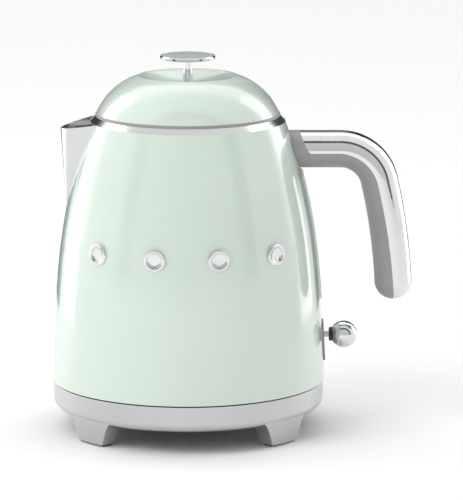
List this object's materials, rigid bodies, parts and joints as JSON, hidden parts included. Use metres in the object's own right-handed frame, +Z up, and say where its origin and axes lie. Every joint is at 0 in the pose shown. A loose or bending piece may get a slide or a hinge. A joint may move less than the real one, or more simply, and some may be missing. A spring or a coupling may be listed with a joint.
{
  "type": "cordless jug kettle",
  "caption": "Rounded pastel jug kettle with a V spout, hanging handle, dished lid with a disc knob and a ball switch, on a round power base with feet.",
  "frame": {"origin": "middle of the whole kettle's footprint box, on the surface it stands on", "axes": "+Z up, +X from the jug towards the handle, -X towards the spout, -Y the front with the studs, +Y the cord side"},
  "size_m": [0.1998, 0.1518, 0.2084],
  "materials": {
    "enamel": "gloss pastel green paint",
    "polished_steel": "polished stainless steel",
    "chrome": "mirror chrome",
    "satin_chrome": "satin chrome",
    "grey_plastic": "satin grey",
    "silicone": "soft matt",
    "zinc_steel": "bright zinc plate",
    "aluminium": "cast",
    "black_plastic": "fine texture",
    "white_plastic": "natural",
    "clear_plastic": "clear gloss",
    "steel_mesh": "fine woven mesh",
    "brass": "bright",
    "rubber": "matt"
  },
  "bodies": {
    "base": {"base_skirt": "satin_chrome", "base_feet": "satin_chrome", "base_deck": "black_plastic", "base_bottom_cover": "black_plastic", "base_screws": "zinc_steel", "connector_post": "black_plastic", "contact_rings": "brass", "earth_pin": "brass", "terminal_block": "white_plastic", "foot_pads": "rubber", "cord_grommet": "rubber"},
    "socket_ring": {"power_socket": "black_plastic", "socket_contacts": "brass"},
    "jug": {"body_shell": "enamel", "neck_collar": "polished_steel", "spout": "polished_steel", "vessel_floor": "polished_steel", "heat_spreader": "aluminium", "heating_element": "zinc_steel", "control_housing": "black_plastic", "bimetal_disc": "zinc_steel", "underbody_cover": "black_plastic", "underbody_screws": "zinc_steel", "steam_tube": "white_plastic", "level_window": "clear_plastic", "window_gasket": "silicone", "handle_grip": "grey_plastic", "handle_cover": "chrome", "handle_screws": "zinc_steel", "handle_plate": "zinc_steel", "switch_escutcheon": "grey_plastic", "switch_bracket": "black_plastic", "pivot_pin": "zinc_steel", "badge_studs": "chrome"},
    "switch": {"switch_lever": "zinc_steel", "switch_collar": "black_plastic", "switch_ball": "chrome"},
    "slider": {"push_rod": "white_plastic"},
    "filter": {"filter_frame": "grey_plastic", "filter_mesh": "steel_mesh"},
    "lid": {"lid_dome": "enamel", "lid_trim_ring": "grey_plastic", "lid_inner_plate": "polished_steel", "lid_seal": "silicone", "knob_stem": "chrome", "knob_disc": "chrome", "knob_inlay": "enamel", "knob_nut": "zinc_steel"}
  },
  "joints": [
    {"name": "jug_lift", "type": "slide", "parent": "base", "child": "socket_ring", "axis": [0, 0, 1], "range_m": [0, 0.06]},
    {"name": "jug_turn", "type": "hinge", "parent": "socket_ring", "child": "jug", "pos_m": [-0.02406, 0, 0.031], "axis": [0, 0, 1], "continuous": true},
    {"name": "lid_lift", "type": "slide", "parent": "jug", "child": "lid", "axis": [0, 0, 1], "range_m": [0, 0.06]},
    {"name": "switch_tilt", "type": "hinge", "parent": "jug", "child": "switch", "pos_m": [0.03994, 0, 0.0517], "axis": [0, 1, 0], "range_deg": [0, 13]},
    {"name": "slider_rise", "type": "slide", "parent": "jug", "child": "slider", "axis": [0, 0, 1], "range_m": [0, 0.0024]},
    {"name": "filter_pull", "type": "slide", "parent": "jug", "child": "filter", "axis": [1, 0, 0], "range_m": [0, 0.025]}
  ],
  "couplings": [
    {"joint": "slider_rise", "follows": "switch_tilt", "m_per_rad": 0.01}
  ]
}
